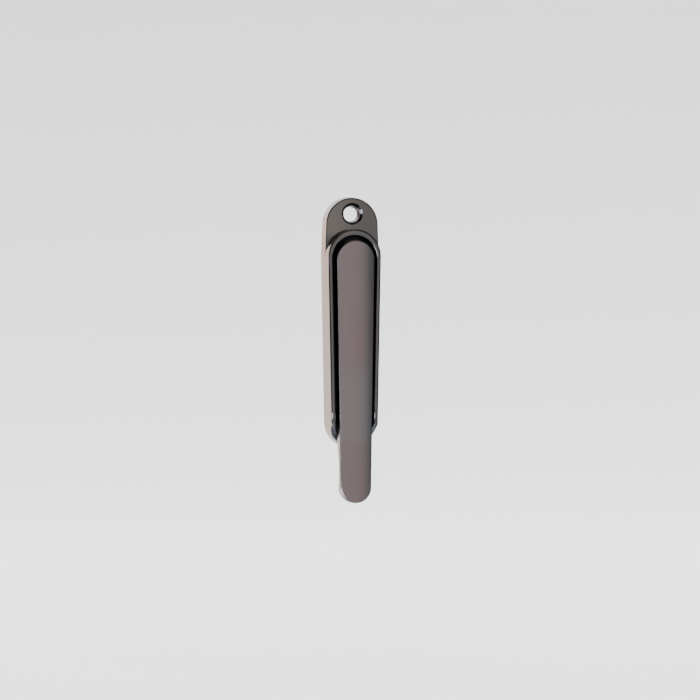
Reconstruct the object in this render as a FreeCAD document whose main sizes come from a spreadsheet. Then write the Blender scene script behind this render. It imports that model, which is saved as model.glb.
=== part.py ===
import FreeCAD, Part
import math
import os

import Sketcher

# Lift and turn handle for a door: a die-cast housing with a lever folded into it.
# X runs to the right, Y into the door and Z up.
# The origin is where the spindle's axis meets the door, and heights stand off the door, towards -Y.

os.makedirs("parts", exist_ok=True)
document = FreeCAD.newDocument("lift_and_turn_handle")
Vector = FreeCAD.Vector

# How near counts as touching, and as lying on a slanting wall, in millimetres
TOUCH = 1e-4
NEAR = 0.01

# Driving sizes, in millimetres and degrees
SIZES = (
    # Housing: outside
    ("body_height", 10.2),
    ("body_top_z", 1.3),
    ("body_top_radius", 12.15),
    ("body_low_z", 68.7),
    ("body_low_radius", 10.8),
    ("draft_angle", 3.5),
    ("plate_height", 5.9),
    ("plate_top_z", 14.9),
    ("plate_top_radius", 11.7),
    ("plate_rounding", 0.6),
    # Housing: the channel for the lever and its scooped lower end
    ("rim_width", 1.95),
    ("rim_rounding", 0.75),
    ("scoop_rounding", 0.5),
    ("opening_top_z", 0.45),
    ("floor_height", 5.0),
    ("channel_draft", 1.5),
    ("scoop_start_z", 69.2),
    ("scoop_end_z", 74.7),
    ("scoop_lip_radius", 9.5),
    ("scoop_foot_radius", 4.0),
    # Housing: screw holes and the cored back
    ("screw_radius", 3.05),
    ("screw_head_radius", 4.6),
    ("screw_seat_angle", 45.0),
    ("screw_seat_depth", 1.0),
    ("screw_throat_angle", 13.0),
    ("screw_top_z", 19.4),
    ("screw_low_z", 60.6),
    ("plate_skin", 4.1),
    ("floor_skin", 2.2),
    ("cast_wall", 2.2),
    ("core_corner", 1.0),
    ("core_rib", 1.8),
    ("core_inset", 0.6),
    # Turning hub
    ("hub_plate_radius", 8.6),
    ("hub_plate_thickness", 1.45),
    ("journal_radius", 6.0),
    ("journal_reach", 0.6),
    ("journal_chamfer", 0.3),
    ("lug_half_width", 3.0),
    ("lug_slot_half_width", 1.5),
    ("lug_radius", 2.0),
    # Spindle
    ("spindle_side", 7.0),
    ("spindle_reach", 19.0),
    ("spindle_chamfer", 0.8),
    ("socket_skin", 0.8),
    # Bearing bush, washers and retaining ring
    ("bush_wall", 0.85),
    ("bush_flange_radius", 8.3),
    ("bush_flange_thickness", 0.5),
    ("web_thickness", 1.4),
    ("back_recess_radius", 8.4),
    ("washer_radius", 8.0),
    ("washer_thickness", 0.45),
    ("wave_radius", 7.7),
    ("wave_thickness", 0.2),
    ("wave_rise", 0.16),
    ("ring_width", 1.4),
    ("ring_thickness", 0.4),
    ("ring_groove_depth", 0.5),
    ("ring_half_gap", 1.2),
    ("ring_lobe_radius", 1.1),
    ("ring_lobe_hole_radius", 0.45),
    ("ring_lobe_overlap", 0.1),
    ("ring_lobe_sink", 0.2),
    ("axial_clearance", 0.02),
    # Lever
    ("lever_front", 12.3),
    ("lever_head_radius", 8.35),
    ("lever_tip_z", 96.4),
    ("lever_tip_radius", 6.75),
    ("slab_thickness", 2.9),
    ("lever_draft", 1.0),
    ("keel_depth", 1.6),
    ("keel_angle", 63.0),
    ("grip_start_z", 75.5),
    ("crown_radius", 42.0),
    ("edge_rounding", 0.55),
    ("finger_scoop_z", 88.5),
    ("finger_scoop_depth", 1.5),
    ("finger_scoop_radius", 27.0),
    ("ear_thickness", 2.0),
    ("ear_radius", 2.2),
    ("ear_root", 0.3),
    ("pocket_roof", 1.6),
    ("pocket_above_pin", 3.5),
    ("pocket_below_pin", 2.4),
    # Pin and spring
    ("pin_radius", 1.25),
    ("pin_height", 8.4),
    ("pin_z", 2.9),
    ("pin_chamfer", 0.2),
    ("spring_wire", 0.5),
    ("spring_turns", 2.5),
    ("spring_leg", 3.1),
    # Clearances
    ("running_clearance", 0.05),
    ("press_clearance", 0.01),
    ("side_clearance", 0.3),
    ("coil_clearance", 0.15),
    ("slot_clearance", 0.1),
    # Flats left between full roundings, and how far a cut runs past what it cuts
    ("corner_flat", 0.05),
    ("overrun", 3.0),
)

# Sizes worked out from the driving ones, each from those above it
WORKED = (
    ("opening_top_radius", "body_top_radius - body_height * tan(draft_angle) - rim_width"),
    ("opening_low_radius", "body_low_radius - body_height * tan(draft_angle) - rim_width"),
    ("channel_depth", "body_height - floor_height"),
    ("scoop_lip_z", "scoop_start_z - scoop_lip_radius / 2"),
    ("over_rim", "body_height + overrun"),
    ("below_body", "body_low_z + body_low_radius + overrun"),
    ("screw_throat_radius", "screw_head_radius - screw_seat_depth * tan(screw_seat_angle)"),
    ("screw_throat_depth", "(screw_throat_radius - screw_radius) / tan(screw_throat_angle)"),
    ("top_throat_height", "plate_height - screw_seat_depth"),
    ("low_throat_height", "floor_height - screw_seat_depth"),
    ("plate_core_depth", "plate_height - plate_skin"),
    ("plate_core_half_width", "plate_top_radius - cast_wall"),
    ("plate_core_top_z", "plate_top_z + plate_core_half_width"),
    ("plate_core_low_z", "back_recess_radius + core_rib"),
    ("plate_core_corner", "plate_core_half_width - corner_flat"),
    ("floor_core_depth", "floor_height - floor_skin"),
    ("floor_core_top_radius", "body_top_radius - cast_wall - core_inset"),
    ("floor_core_low_radius", "body_low_radius - cast_wall"),
    ("floor_core_top_z", "back_recess_radius + core_rib + floor_core_top_radius"),
    ("floor_core_low_z", "screw_low_z - screw_head_radius - core_rib - floor_core_low_radius"),
    ("hub_seat_height", "floor_height - hub_plate_thickness"),
    ("bush_seat_height", "hub_seat_height - running_clearance - bush_flange_thickness"),
    ("hub_recess_radius", "hub_plate_radius + side_clearance"),
    ("hub_recess_depth", "floor_height - bush_seat_height"),
    ("bush_bore_radius", "journal_radius + running_clearance"),
    ("bush_radius", "bush_bore_radius + bush_wall"),
    ("housing_bore_radius", "bush_radius + press_clearance"),
    ("back_recess_depth", "bush_seat_height - web_thickness"),
    ("bush_top_height", "hub_seat_height - running_clearance"),
    ("bush_end_height", "back_recess_depth + running_clearance"),
    ("washer_bore_radius", "journal_radius + running_clearance"),
    ("washer_base_height", "back_recess_depth - running_clearance - washer_thickness"),
    ("ring_groove_radius", "journal_radius - ring_groove_depth"),
    ("wave_top_height", "washer_base_height - axial_clearance"),
    ("wave_low_height", "wave_top_height - wave_thickness - wave_rise"),
    ("wave_bore_radius", "journal_radius + side_clearance"),
    ("wave_bend_radius", "wave_radius * wave_radius / (2 * wave_rise)"),
    ("ring_top_height", "wave_low_height - axial_clearance"),
    ("ring_low_height", "ring_top_height - ring_thickness"),
    ("groove_top_height", "ring_top_height + axial_clearance"),
    ("groove_low_height", "ring_low_height - axial_clearance"),
    ("ring_bore_radius", "ring_groove_radius + press_clearance"),
    ("ring_radius", "ring_bore_radius + ring_width"),
    ("ring_lobe_x", "ring_half_gap + ring_lobe_radius - ring_lobe_overlap"),
    ("ring_lobe_z", "ring_radius - ring_lobe_sink"),
    ("ring_end_z", "ring_radius + overrun"),
    ("socket_side", "spindle_side + 2 * press_clearance"),
    ("socket_top_height", "floor_height - socket_skin"),
    ("socket_half_side", "socket_side / 2"),
    ("socket_depth", "socket_top_height + journal_reach"),
    ("spindle_half_side", "spindle_side / 2"),
    ("spindle_length", "socket_top_height - press_clearance + spindle_reach"),
    ("lug_top_height", "pin_height + lug_radius"),
    ("lug_top_z", "pin_z + lug_radius"),
    ("lug_low_z", "pin_z - lug_radius"),
    ("lug_corner", "lug_radius - corner_flat"),
    ("lug_width", "2 * lug_half_width"),
    ("slot_width", "2 * lug_slot_half_width"),
    ("coil_radius", "pin_radius + coil_clearance + spring_wire / 2"),
    ("slot_floor_height", "pin_height - coil_radius - spring_wire / 2 - slot_clearance"),
    ("over_lug", "lug_top_height + overrun"),
    ("above_lug", "lug_top_z + overrun"),
    ("below_lug", "lug_low_z - overrun"),
    ("lug_hole_radius", "pin_radius + running_clearance"),
    ("ear_hole_radius", "pin_radius + press_clearance"),
    ("slab_height", "lever_front - slab_thickness"),
    ("keel_height", "slab_height - keel_depth"),
    ("lever_taper", "(lever_head_radius - lever_tip_radius) / lever_tip_z"),
    ("grip_radius", "lever_head_radius - lever_taper * grip_start_z"),
    ("pocket_half_width", "lug_half_width + side_clearance"),
    ("ear_span", "2 * (pocket_half_width + ear_thickness)"),
    ("ear_corner", "ear_radius - corner_flat"),
    ("ear_root_height", "slab_height + ear_root"),
    ("ear_low_height", "pin_height - ear_radius"),
    ("ear_top_z", "pin_z + ear_radius"),
    ("ear_low_z", "pin_z - ear_radius"),
    ("pocket_start_height", "ear_low_height - slot_clearance"),
    ("pocket_top_height", "lever_front - pocket_roof"),
    ("pocket_height", "pocket_top_height - pocket_start_height"),
    ("pocket_top_z", "pin_z + pocket_above_pin"),
    ("pocket_low_z", "pin_z - pocket_below_pin"),
    ("finger_scoop_height", "keel_height + finger_scoop_depth - finger_scoop_radius"),
    ("crown_centre_height", "lever_front - crown_radius"),
    ("over_lever", "lever_front + overrun"),
    ("beside_lever", "lever_head_radius + overrun"),
    ("crown_edge_height", "crown_centre_height + sqrt(crown_radius ^ 2 - beside_lever ^ 2)"),
    ("pin_length", "ear_span"),
)

sheet = document.addObject("Spreadsheet::Sheet", "sizes")
for row, (alias, content) in enumerate(SIZES + WORKED, start=1):
    sheet.set(f"A{row}", alias)
    sheet.set(f"B{row}", str(content) if isinstance(content, float) else f"={content}")
    sheet.setAlias(f"B{row}", alias)
document.recompute()


def size(term):
    """The number behind a size's name, or less that number where the name starts with a minus."""
    if term.startswith("-"):
        return -size(term[1:])
    return 0.0 if term == "zero" else float(sheet.get(term))


def formula(term):
    """The binding for a size's name, with its sign."""
    if term == "zero":
        return "0"
    return f"-sizes.{term[1:]}" if term.startswith("-") else f"sizes.{term}"


# Sketches

def new_body(label):
    """An empty body under the name of its piece."""
    body = document.addObject("PartDesign::Body", label)
    body.Label = label
    return body


def new_sketch(body, name, role, offset="zero"):
    """A sketch on one of the body's own origin planes, moved along the plane's normal."""
    sketch = body.newObject("Sketcher::SketchObject", f"{body.Label}_{name}")
    plane = next(p for p in body.Origin.OriginFeatures if p.Role == role)
    sketch.AttachmentSupport = [(plane, "")]
    sketch.MapMode = "FlatFace"
    if offset != "zero":
        sketch.setExpression("AttachmentOffset.Base.z", formula(offset))
    return sketch


def bind(sketch, kind, *where, term):
    """A measured constraint that takes its value from the sheet."""
    index = sketch.addConstraint(Sketcher.Constraint(kind, *where, size(term)))
    sketch.setExpression(f"Constraints[{index}]", formula(term))


def bind_point(sketch, geometry, end, across, up):
    """A point held at its distances from the sketch's origin, or on an axis where one is zero."""
    for kind, term, axis in (("DistanceX", across, -2), ("DistanceY", up, -1)):
        if term == "zero":
            sketch.addConstraint(Sketcher.Constraint("PointOnObject", geometry, end, axis))
        else:
            bind(sketch, kind, -1, 1, geometry, end, term=term)


def circle(sketch, radius, across="zero", up="zero"):
    """A full circle."""
    centre = Vector(size(across), size(up), 0)
    geometry = sketch.addGeometry(Part.Circle(centre, Vector(0, 0, 1), size(radius)), False)
    bind_point(sketch, geometry, 3, across, up)
    bind(sketch, "Radius", geometry, term=radius)
    return sketch


def tapered_slot(sketch, top_z, top_radius, low_z, low_radius):
    """Two arcs on the centreline, joined by straight sides tangent to both."""
    high, low = size(top_z), size(low_z)
    wide, narrow = size(top_radius), size(low_radius)
    lean = math.asin((wide - narrow) / (high - low))
    normal = Vector(0, 0, 1)
    upper = Part.Circle(Vector(0, high, 0), normal, wide)
    lower = Part.Circle(Vector(0, low, 0), normal, narrow)
    right_top = Vector(wide * math.cos(lean), high - wide * math.sin(lean), 0)
    right_low = Vector(narrow * math.cos(lean), low - narrow * math.sin(lean), 0)
    left_top = Vector(-right_top.x, right_top.y, 0)
    left_low = Vector(-right_low.x, right_low.y, 0)
    sketch.addGeometry(Part.ArcOfCircle(upper, -lean, math.pi + lean), False)
    sketch.addGeometry(Part.LineSegment(left_top, left_low), False)
    sketch.addGeometry(Part.ArcOfCircle(lower, math.pi + lean, 2 * math.pi - lean), False)
    sketch.addGeometry(Part.LineSegment(right_low, right_top), False)
    for first, second in ((0, 1), (1, 2), (2, 3), (3, 0)):
        sketch.addConstraint(Sketcher.Constraint("Tangent", first, 2, second, 1))
    bind_point(sketch, 0, 3, "zero", top_z)
    bind_point(sketch, 2, 3, "zero", low_z)
    bind(sketch, "Radius", 0, term=top_radius)
    bind(sketch, "Radius", 2, term=low_radius)
    return sketch


def unit(vector):
    """A copy of a vector, one long."""
    copy = Vector(vector)
    copy.normalize()
    return copy


def profile(sketch, corners):
    """A closed outline of straight lines. A corner is (across, up) or (across, up, rounding)."""
    count = len(corners)
    points = [Vector(size(corner[0]), size(corner[1]), 0) for corner in corners]
    roundings = [size(corner[2]) if len(corner) == 3 else 0.0 for corner in corners]
    starts, ends, centres = [], [], []
    for index, point in enumerate(points):
        back = unit(points[index - 1] - point)
        ahead = unit(points[(index + 1) % count] - point)
        half = back.getAngle(ahead) / 2
        reach = roundings[index] / math.tan(half)
        ends.append(point + back * reach)
        starts.append(point + ahead * reach)
        centres.append(point + unit(back + ahead) * (roundings[index] / math.sin(half)))
    for index in range(count):
        line = Part.LineSegment(starts[index], ends[(index + 1) % count])
        sketch.addGeometry(line, False)
    for index, corner in enumerate(corners):
        before = (index - 1) % count
        if roundings[index] == 0.0:
            sketch.addConstraint(Sketcher.Constraint("Coincident", before, 2, index, 1))
            bind_point(sketch, index, 1, corner[0], corner[1])
            continue
        mark = sketch.addGeometry(Part.Point(points[index]), True)
        bind_point(sketch, mark, 1, corner[0], corner[1])
        sketch.addConstraint(Sketcher.Constraint("PointOnObject", mark, 1, before))
        sketch.addConstraint(Sketcher.Constraint("PointOnObject", mark, 1, index))
        add_corner(sketch, before, index, centres[index], ends[index], starts[index], corner[2])
    return sketch


def add_corner(sketch, before, after, centre, end, start, rounding):
    """An arc between the end of one line and the start of the next, tangent to both."""
    middle = centre + unit((end + start) / 2 - centre) * size(rounding)
    arc = Part.Arc(end, middle, start)
    geometry = sketch.addGeometry(arc, False)
    turn = (middle - end).cross(start - middle).z
    clockwise = turn < 0
    first, last = (2, 1) if clockwise else (1, 2)
    sketch.addConstraint(Sketcher.Constraint("Tangent", before, 2, geometry, first))
    sketch.addConstraint(Sketcher.Constraint("Tangent", geometry, last, after, 1))
    bind(sketch, "Radius", geometry, term=rounding)


# Features

def feature(body, kind, name, sketch, length=None, taper=None, symmetric=False, backwards=False):
    """A pad or pocket of a sketch: by a length, or through everything without one."""
    made = body.newObject(f"PartDesign::{kind}", f"{body.Label}_{name}")
    made.Profile = sketch
    if symmetric:
        made.SideType = "Symmetric"
    if length is None:
        made.Type = "ThroughAll"
    else:
        made.setExpression("Length", formula(length))
    if taper is not None:
        made.setExpression("TaperAngle", formula(taper))
    made.Reversed = backwards
    document.recompute()
    return made


def revolve(body, name, sketch):
    """A full turn of a sketch about its own horizontal axis."""
    made = body.newObject("PartDesign::Revolution", f"{body.Label}_{name}")
    made.Profile = sketch
    made.ReferenceAxis = (sketch, ["H_Axis"])
    made.Angle = 360.0
    document.recompute()
    return made


def edges_of(shape, chosen):
    """The names of the edges that a test picks."""
    return [f"Edge{n}" for n, edge in enumerate(shape.Edges, start=1) if chosen(edge)]


def dress(body, kind, name, chosen, amount):
    """A fillet or chamfer on the edges of the body so far that a test picks."""
    base = body.Tip
    made = body.newObject(f"PartDesign::{kind}", f"{body.Label}_{name}")
    made.Base = (base, edges_of(base.Shape, chosen))
    made.setExpression("Radius" if kind == "Fillet" else "Size", formula(amount))
    document.recompute()
    return made


def at_height(edge, height):
    """Whether an edge lies in the plane at a height off the door."""
    box = edge.BoundBox
    return abs(box.YMin + size(height)) < TOUCH and abs(box.YMax + size(height)) < TOUCH


# Housing

def housing():
    """The die-cast housing: screw plate, boss with its channel, and the cored back."""
    body = new_body("housing")
    sketch = new_sketch(body, "plate_outline", "XZ_Plane")
    tapered_slot(sketch, "plate_top_z", "plate_top_radius", "body_top_z", "body_top_radius")
    feature(body, "Pad", "plate", sketch, "plate_height", taper="-draft_angle")
    dress(body, "Fillet", "plate_edge", lambda edge: at_height(edge, "plate_height"), "plate_rounding")

    sketch = new_sketch(body, "boss_outline", "XZ_Plane")
    tapered_slot(sketch, "body_top_z", "body_top_radius", "-body_low_z", "body_low_radius")
    feature(body, "Pad", "boss", sketch, "body_height", taper="-draft_angle")

    sketch = new_sketch(body, "channel_outline", "XZ_Plane", "body_height")
    tapered_slot(sketch, "opening_top_z", "opening_top_radius", "-body_low_z", "opening_low_radius")
    feature(body, "Pocket", "channel", sketch, "channel_depth", taper="-channel_draft")
    dress(body, "Fillet", "rim", lambda edge: at_height(edge, "body_height"), "rim_rounding")

    sketch = new_sketch(body, "scoop_profile", "YZ_Plane")
    profile(sketch, (
        ("-over_rim", "-scoop_start_z"),
        ("-body_height", "-scoop_start_z", "scoop_lip_radius"),
        ("-floor_height", "-scoop_end_z", "scoop_foot_radius"),
        ("-floor_height", "-below_body"),
        ("-over_rim", "-below_body"),
    ))
    feature(body, "Pocket", "scoop", sketch, symmetric=True)
    dress(body, "Fillet", "scoop_edge", is_scoop_edge, "scoop_rounding")
    hub_seat(body)
    core_the_back(body)
    screw_holes(body)
    return body


def outside_slot(across, up, top_z, top_radius, low_z, low_radius):
    """How far a point lies outside a tapered slot's outline."""
    tall = top_z - low_z
    slope = (low_radius - top_radius) / tall
    steep = math.sqrt(1 - slope * slope)
    side, rise = abs(across), up - low_z
    along = rise * steep - side * slope
    if along < 0:
        return math.hypot(side, rise) - low_radius
    if along > steep * tall:
        return math.hypot(side, rise - tall) - top_radius
    return side * steep + rise * slope - low_radius


def is_scoop_edge(edge):
    """An edge between the scooped end and the boss's outer wall: it climbs, or it rims the floor."""
    first, last = edge.ParameterRange
    point = edge.valueAt((first + last) / 2)
    lean = -point.y * math.tan(math.radians(size("draft_angle")))
    outside = outside_slot(
        point.x, point.z,
        size("body_top_z"), size("body_top_radius") - lean,
        -size("body_low_z"), size("body_low_radius") - lean,
    )
    on_wall = abs(outside) < NEAR
    over_floor = -edge.BoundBox.YMax > size("floor_height") - TOUCH
    climbs = edge.BoundBox.YLength > NEAR
    low_end = point.z < -size("scoop_lip_z")
    return on_wall and over_floor and low_end and (climbs or at_height(edge, "floor_height"))


def hub_seat(body):
    """The recess for the hub's plate, the bore of its bush and the recess for the washers."""
    sketch = circle(new_sketch(body, "hub_circle", "XZ_Plane", "floor_height"), "hub_recess_radius")
    feature(body, "Pocket", "hub_recess", sketch, "hub_recess_depth")
    sketch = circle(new_sketch(body, "bore_circle", "XZ_Plane", "floor_height"), "housing_bore_radius")
    feature(body, "Pocket", "bore", sketch)
    sketch = circle(new_sketch(body, "back_circle", "XZ_Plane"), "back_recess_radius")
    feature(body, "Pocket", "back_recess", sketch, "back_recess_depth", backwards=True)


def core_the_back(body):
    """Two hollows that leave an even wall, as in any die casting of this thickness."""
    sketch = new_sketch(body, "plate_core_outline", "XZ_Plane")
    profile(sketch, (
        ("-plate_core_half_width", "plate_core_low_z", "core_corner"),
        ("plate_core_half_width", "plate_core_low_z", "core_corner"),
        ("plate_core_half_width", "plate_core_top_z", "plate_core_corner"),
        ("-plate_core_half_width", "plate_core_top_z", "plate_core_corner"),
    ))
    feature(body, "Pocket", "plate_core", sketch, "plate_core_depth", backwards=True)
    sketch = new_sketch(body, "floor_core_outline", "XZ_Plane")
    tapered_slot(
        sketch, "-floor_core_top_z", "floor_core_top_radius", "-floor_core_low_z", "floor_core_low_radius"
    )
    feature(body, "Pocket", "floor_core", sketch, "floor_core_depth", backwards=True)


def screw_holes(body):
    """A hole in the plate and one that the closed lever hides, each with its seat, cast throat and bore."""
    for screw, face, throat, up in (
        ("top_screw", "plate_height", "top_throat_height", "screw_top_z"),
        ("low_screw", "floor_height", "low_throat_height", "-screw_low_z"),
    ):
        sketch = new_sketch(body, f"{screw}_bore_circle", "XZ_Plane", face)
        circle(sketch, "screw_radius", up=up)
        feature(body, "Pocket", f"{screw}_bore", sketch)
        sketch = new_sketch(body, f"{screw}_seat_circle", "XZ_Plane", face)
        circle(sketch, "screw_head_radius", up=up)
        feature(body, "Pocket", f"{screw}_seat", sketch, "screw_seat_depth", taper="-screw_seat_angle")
        sketch = new_sketch(body, f"{screw}_throat_circle", "XZ_Plane", throat)
        circle(sketch, "screw_throat_radius", up=up)
        feature(body, "Pocket", f"{screw}_throat", sketch, "screw_throat_depth", taper="-screw_throat_angle")


# Turning parts under the lever

def hub():
    """The steel hub: a round plate and journal in one with the lug that carries the lever's pin."""
    body = new_body("hub")
    sketch = new_sketch(body, "turned_profile", "YZ_Plane")
    profile(sketch, (
        ("journal_reach", "zero"),
        ("-floor_height", "zero"),
        ("-floor_height", "hub_plate_radius"),
        ("-hub_seat_height", "hub_plate_radius"),
        ("-hub_seat_height", "journal_radius"),
        ("-groove_top_height", "journal_radius"),
        ("-groove_top_height", "ring_groove_radius"),
        ("-groove_low_height", "ring_groove_radius"),
        ("-groove_low_height", "journal_radius"),
        ("journal_reach", "journal_radius"),
    ))
    revolve(body, "turning", sketch)
    dress(body, "Chamfer", "journal_end", is_journal_end, "journal_chamfer")
    sketch = new_sketch(body, "socket_outline", "XZ_Plane", "-journal_reach")
    square(sketch, "socket_half_side")
    feature(body, "Pocket", "socket", sketch, "socket_depth", backwards=True)
    sketch = new_sketch(body, "lug_profile", "YZ_Plane")
    profile(sketch, (
        ("-socket_top_height", "lug_low_z"),
        ("-lug_top_height", "lug_low_z", "lug_corner"),
        ("-lug_top_height", "lug_top_z", "lug_corner"),
        ("-socket_top_height", "lug_top_z"),
    ))
    feature(body, "Pad", "lug", sketch, "lug_width", symmetric=True)
    sketch = new_sketch(body, "slot_profile", "YZ_Plane")
    profile(sketch, (
        ("-slot_floor_height", "below_lug"),
        ("-over_lug", "below_lug"),
        ("-over_lug", "above_lug"),
        ("-slot_floor_height", "above_lug"),
    ))
    feature(body, "Pocket", "spring_slot", sketch, "slot_width", symmetric=True)
    sketch = circle(new_sketch(body, "pin_circle", "YZ_Plane"), "lug_hole_radius", "-pin_height", "pin_z")
    feature(body, "Pocket", "pin_hole", sketch, symmetric=True)
    return body


def is_journal_end(edge):
    """The rim of the journal's free end."""
    return abs(edge.BoundBox.YMin - size("journal_reach")) < TOUCH and edge.Length > NEAR


def square(sketch, half_side):
    """A square about the sketch's origin."""
    other = f"-{half_side}"
    return profile(sketch, ((half_side, half_side), (other, half_side), (other, other), (half_side, other)))


def spindle():
    """The square steel spindle, fast in the hub and long enough to reach through a door."""
    body = new_body("spindle")
    sketch = square(new_sketch(body, "outline", "XZ_Plane", "-spindle_reach"), "spindle_half_side")
    feature(body, "Pad", "bar", sketch, "spindle_length")
    dress(
        body, "Chamfer", "end",
        lambda edge: edge.BoundBox.YMin > size("spindle_reach") - TOUCH,
        "spindle_chamfer",
    )
    return body


def bearing_bush():
    """The nylon bush that the hub turns in, with a flange under the hub's plate."""
    body = new_body("bearing_bush")
    sketch = new_sketch(body, "turned_profile", "YZ_Plane")
    profile(sketch, (
        ("-bush_end_height", "bush_bore_radius"),
        ("-bush_top_height", "bush_bore_radius"),
        ("-bush_top_height", "bush_flange_radius"),
        ("-bush_seat_height", "bush_flange_radius"),
        ("-bush_seat_height", "bush_radius"),
        ("-bush_end_height", "bush_radius"),
    ))
    revolve(body, "turning", sketch)
    return body


def thrust_washer():
    """The flat washer behind the housing's web."""
    body = new_body("thrust_washer")
    sketch = circle(new_sketch(body, "outline", "XZ_Plane", "washer_base_height"), "washer_radius")
    circle(sketch, "washer_bore_radius")
    feature(body, "Pad", "disc", sketch, "washer_thickness")
    return body


def retaining_ring():
    """The open spring ring in the journal's groove, with a lobe and a plier hole at each end."""
    body = new_body("retaining_ring")
    sketch = circle(new_sketch(body, "ring_circles", "XZ_Plane", "ring_low_height"), "ring_radius")
    circle(sketch, "ring_bore_radius")
    feature(body, "Pad", "ring", sketch, "ring_thickness")
    sketch = new_sketch(body, "lobe_circles", "XZ_Plane", "ring_low_height")
    for across in ("-ring_lobe_x", "ring_lobe_x"):
        circle(sketch, "ring_lobe_radius", across, "-ring_lobe_z")
        circle(sketch, "ring_lobe_hole_radius", across, "-ring_lobe_z")
    feature(body, "Pad", "lobes", sketch, "ring_thickness")
    sketch = new_sketch(body, "gap_outline", "XZ_Plane", "ring_low_height")
    profile(sketch, (
        ("-ring_half_gap", "-ring_end_z"),
        ("ring_half_gap", "-ring_end_z"),
        ("ring_half_gap", "zero"),
        ("-ring_half_gap", "zero"),
    ))
    feature(body, "Pocket", "gap", sketch, "ring_thickness", backwards=True)
    return body


def cylinder(name, radius, length, place, turn):
    """A plain cylinder bound to the sheet."""
    made = document.addObject("Part::Cylinder", name)
    made.Placement = FreeCAD.Placement(place, turn)
    made.setExpression("Radius", radius)
    made.setExpression("Height", length)
    return made


def wave_washer():
    """The sprung washer: an annulus of thin sheet with a gentle bend, which takes up end play."""
    along_y = FreeCAD.Rotation(Vector(1, 0, 0), 90)
    along_x = FreeCAD.Rotation(Vector(0, 1, 0), 90)
    across = Vector(-size("wave_radius") - size("overrun"), 0, 0)
    outer = cylinder("wave_outer", "sizes.wave_radius", "sizes.body_height", Vector(), along_y)
    bore = cylinder("wave_bore", "sizes.wave_bore_radius", "sizes.body_height", Vector(), along_y)
    width = "2 * (sizes.wave_radius + sizes.overrun)"
    crest = cylinder("wave_crest", "sizes.wave_bend_radius", width, across, along_x)
    under_crest = "sizes.wave_bend_radius - sizes.wave_thickness"
    trough = cylinder("wave_trough", under_crest, width, across, along_x)
    for bend in (crest, trough):
        bend.setExpression("Placement.Base.y", "sizes.wave_bend_radius - sizes.wave_top_height")
    ring = document.addObject("Part::Cut", "wave_ring")
    ring.Base, ring.Tool = outer, bore
    sheet_metal = document.addObject("Part::Cut", "wave_sheet")
    sheet_metal.Base, sheet_metal.Tool = crest, trough
    washer = document.addObject("Part::Common", "wave_washer")
    washer.Base, washer.Tool = ring, sheet_metal
    washer.Label = "wave_washer"
    return washer


# Lever

def lever():
    """The lever: a crowned slab with a bevelled keel, a full-depth grip, and two ears for its pin."""
    body = new_body("lever")
    sketch = new_sketch(body, "slab_outline", "XZ_Plane", "slab_height")
    tapered_slot(sketch, "zero", "lever_head_radius", "-lever_tip_z", "lever_tip_radius")
    feature(body, "Pad", "slab", sketch, "slab_thickness", taper="-lever_draft")
    crown(body)
    dress(body, "Fillet", "front_edge", is_front_edge, "edge_rounding")

    sketch = new_sketch(body, "keel_outline", "XZ_Plane", "slab_height")
    tapered_slot(sketch, "zero", "lever_head_radius", "-lever_tip_z", "lever_tip_radius")
    feature(body, "Pad", "keel", sketch, "keel_depth", taper="-keel_angle", backwards=True)
    sketch = new_sketch(body, "grip_outline", "XZ_Plane", "slab_height")
    tapered_slot(sketch, "-grip_start_z", "grip_radius", "-lever_tip_z", "lever_tip_radius")
    feature(body, "Pad", "grip", sketch, "keel_depth", backwards=True)
    sketch = new_sketch(body, "finger_circle", "YZ_Plane")
    circle(sketch, "finger_scoop_radius", "-finger_scoop_height", "-finger_scoop_z")
    feature(body, "Pocket", "finger_scoop", sketch, symmetric=True)
    hinge_of_lever(body)
    return body


def crown(body):
    """The front is part of a large cylinder, so it is highest along the middle."""
    sketch = new_sketch(body, "crown_profile", "XY_Plane")
    centre = Vector(0, -size("crown_centre_height"), 0)
    left = Vector(-size("beside_lever"), -size("crown_edge_height"), 0)
    right = Vector(size("beside_lever"), -size("crown_edge_height"), 0)
    top_left = Vector(left.x, -size("over_lever"), 0)
    top_right = Vector(right.x, -size("over_lever"), 0)
    sketch.addGeometry(Part.Arc(left, Vector(0, -size("lever_front"), 0), right), False)
    sketch.addGeometry(Part.LineSegment(right, top_right), False)
    sketch.addGeometry(Part.LineSegment(top_right, top_left), False)
    sketch.addGeometry(Part.LineSegment(top_left, left), False)
    start, end = arc_ends(sketch.Geometry[0], left)
    sketch.addConstraint(Sketcher.Constraint("Coincident", 0, end, 1, 1))
    sketch.addConstraint(Sketcher.Constraint("Coincident", 1, 2, 2, 1))
    sketch.addConstraint(Sketcher.Constraint("Coincident", 2, 2, 3, 1))
    sketch.addConstraint(Sketcher.Constraint("Coincident", 3, 2, 0, start))
    sketch.addConstraint(Sketcher.Constraint("Vertical", 1))
    sketch.addConstraint(Sketcher.Constraint("Vertical", 3))
    sketch.addConstraint(Sketcher.Constraint("PointOnObject", 0, 3, -2))
    bind(sketch, "DistanceY", -1, 1, 0, 3, term="-crown_centre_height")
    bind(sketch, "Radius", 0, term="crown_radius")
    bind(sketch, "DistanceX", -1, 1, 1, 1, term="beside_lever")
    bind(sketch, "DistanceX", -1, 1, 3, 2, term="-beside_lever")
    bind(sketch, "DistanceY", -1, 1, 1, 2, term="-over_lever")
    bind(sketch, "DistanceY", -1, 1, 3, 1, term="-over_lever")
    return feature(body, "Pocket", "crown", sketch, symmetric=True)


def arc_ends(arc, first_point):
    """Which ends of an arc are the one at a point and the other."""
    at_start = (arc.StartPoint - first_point).Length < TOUCH
    return (1, 2) if at_start else (2, 1)


def is_front_edge(edge):
    """The edge around the crowned front."""
    return -edge.BoundBox.YMax > size("slab_height") + TOUCH


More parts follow.
